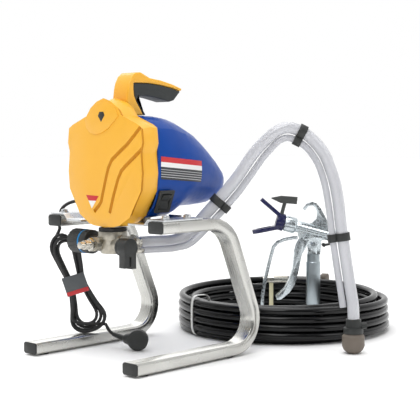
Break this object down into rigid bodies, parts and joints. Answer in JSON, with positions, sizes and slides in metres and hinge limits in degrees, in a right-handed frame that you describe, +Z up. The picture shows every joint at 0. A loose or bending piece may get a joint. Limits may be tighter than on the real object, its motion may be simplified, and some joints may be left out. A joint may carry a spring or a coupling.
{
  "type": "airless paint sprayer",
  "caption": "Airless paint sprayer on a tubular stand, with piston pump, suction set, coiled hose and spray gun.",
  "frame": {"origin": "on the floor, under the middle of the stand and the gun, without the loose lead, tubes and hose", "axes": "+Z up; -Y is the front, where the yellow cover faces; +X is the right hand side, where the switch is"},
  "size_m": [0.498, 0.7458, 0.494],
  "materials": {
    "stand_tube": "satin polished steel tube",
    "bright_steel": "bright zinc plate",
    "cast_metal": "bead blasted casting",
    "gear_steel": "machined steel",
    "copper": "enamelled copper winding",
    "black_plastic": "fine moulded texture",
    "rubber": "matt",
    "yellow_plastic": "semi gloss moulding",
    "blue_plastic": "gloss moulding",
    "ring_blue": "gloss moulding",
    "board": "solder mask",
    "clear_hose": "milky clear PVC",
    "gun_metal": "polished casting",
    "gun_grip": "satin anodised",
    "guard_blue": "gloss moulding",
    "strainer_grey": "moulded with mesh",
    "hose_black": "glossy smooth cover"
  },
  "bodies": {
    "frame": {"left_leg": "stand_tube", "left_front_foot": "rubber", "left_rear_foot": "rubber", "left_skid_cap": "black_plastic", "left_arm_cap": "black_plastic", "right_leg": "stand_tube", "right_front_foot": "rubber", "right_rear_foot": "rubber", "right_skid_cap": "black_plastic", "right_arm_cap": "black_plastic", "mounting_tray": "bright_steel", "drive_housing": "cast_metal", "motor_can": "gear_steel", "control_board": "board", "front_cover": "yellow_plastic", "motor_cover": "blue_plastic", "switch_bezel": "black_plastic", "carry_handle": "yellow_plastic", "handle_grip": "rubber", "pump_gasket": "rubber", "pump_manifold": "cast_metal", "hose_outlet": "bright_steel", "inlet_fitting": "bright_steel", "pressure_control": "black_plastic", "dial_ring": "ring_blue", "prime_valve": "black_plastic", "return_barb": "bright_steel", "strain_relief": "rubber", "lead_drop": "rubber", "lead_hank": "rubber", "lead_tail": "rubber", "mains_plug": "black_plastic", "suction_tube": "clear_hose", "return_tube": "clear_hose", "tube_clip_low": "black_plastic", "tube_clip_top": "black_plastic", "tube_clip_end": "black_plastic", "strainer_collar": "black_plastic", "inlet_strainer": "strainer_grey", "hose_coil": "hose_black", "hose_fitting": "bright_steel", "bend_restrictor": "strainer_grey"},
    "crank": {"crank_gear": "gear_steel"},
    "rotor": {"motor_rotor": "copper", "cooling_fan": "black_plastic"},
    "piston": {"crank_yoke": "gear_steel", "piston_rod": "bright_steel"},
    "knob": {"pressure_knob": "black_plastic"},
    "prime": {"prime_lever": "black_plastic"},
    "rocker": {"switch_rocker": "black_plastic"},
    "gun": {"gun_body": "gun_metal", "gun_handle": "gun_grip", "trigger_guard": "gun_metal", "retaining_nut": "bright_steel"},
    "swivel": {"gun_swivel": "gun_metal"},
    "trigger": {"gun_trigger": "gun_metal"},
    "needle": {"gun_needle": "bright_steel"},
    "lock": {"trigger_lock": "black_plastic"},
    "guard": {"tip_guard": "guard_blue"},
    "tip": {"spray_tip": "black_plastic"}
  },
  "joints": [
    {"name": "crank_spin", "type": "hinge", "parent": "frame", "child": "crank", "pos_m": [0, -0.2434, 0.3], "axis": [0, 1, 0], "continuous": true},
    {"name": "rotor_spin", "type": "hinge", "parent": "frame", "child": "rotor", "pos_m": [0, -0.1704, 0.348], "axis": [0, 1, 0], "continuous": true},
    {"name": "piston_stroke", "type": "slide", "parent": "frame", "child": "piston", "axis": [0, 0, 1], "range_m": [-0.01, 0.01]},
    {"name": "pressure_knob_turn", "type": "hinge", "parent": "frame", "child": "knob", "pos_m": [-0.09, -0.2624, 0.2], "axis": [-1, 0, 0], "range_deg": [0, 270]},
    {"name": "prime_lever_turn", "type": "hinge", "parent": "frame", "child": "prime", "pos_m": [0.047, -0.2724, 0.197], "axis": [1, 0, 0], "range_deg": [-90, 0]},
    {"name": "rocker_tilt", "type": "hinge", "parent": "frame", "child": "rocker", "pos_m": [0.08693, -0.2244, 0.27463], "axis": [0, 1, 0], "range_deg": [-8, 0]},
    {"name": "gun_lift", "type": "slide", "parent": "frame", "child": "gun", "axis": [0, 0, 1], "range_m": [0, 0.3]},
    {"name": "swivel_turn", "type": "hinge", "parent": "gun", "child": "swivel", "pos_m": [-0.002, 0.2996, 0.008], "axis": [0, 0, 1], "continuous": true},
    {"name": "trigger_pull", "type": "hinge", "parent": "gun", "child": "trigger", "pos_m": [-0.01437, 0.28794, 0.172], "axis": [0.6858, -0.7278, 0], "range_deg": [0, 8], "stiffness_Nm_per_rad": 1.2, "springref_deg": -5.73},
    {"name": "needle_draw", "type": "slide", "parent": "gun", "child": "needle", "axis": [0.703, 0.6624, -0.2588], "range_m": [0, 0.0026]},
    {"name": "trigger_lock_turn", "type": "hinge", "parent": "gun", "child": "lock", "pos_m": [0.01372, 0.31441, 0.1586], "axis": [0.6858, -0.7278, 0], "range_deg": [-80, 0]},
    {"name": "tip_guard_turn", "type": "hinge", "parent": "gun", "child": "guard", "pos_m": [-0.05262, 0.2519, 0.20714], "axis": [-0.703, -0.6624, 0.2588], "range_deg": [-90, 90]},
    {"name": "spray_tip_turn", "type": "hinge", "parent": "guard", "child": "tip", "pos_m": [-0.05374, 0.25084, 0.20755], "axis": [0.1884, 0.1775, 0.9659], "range_deg": [0, 180]}
  ],
  "couplings": [
    {"joint": "rotor_spin", "follows": "crank_spin", "ratio": -5},
    {"joint": "needle_draw", "follows": "trigger_pull", "m_per_rad": 0.017905}
  ]
}
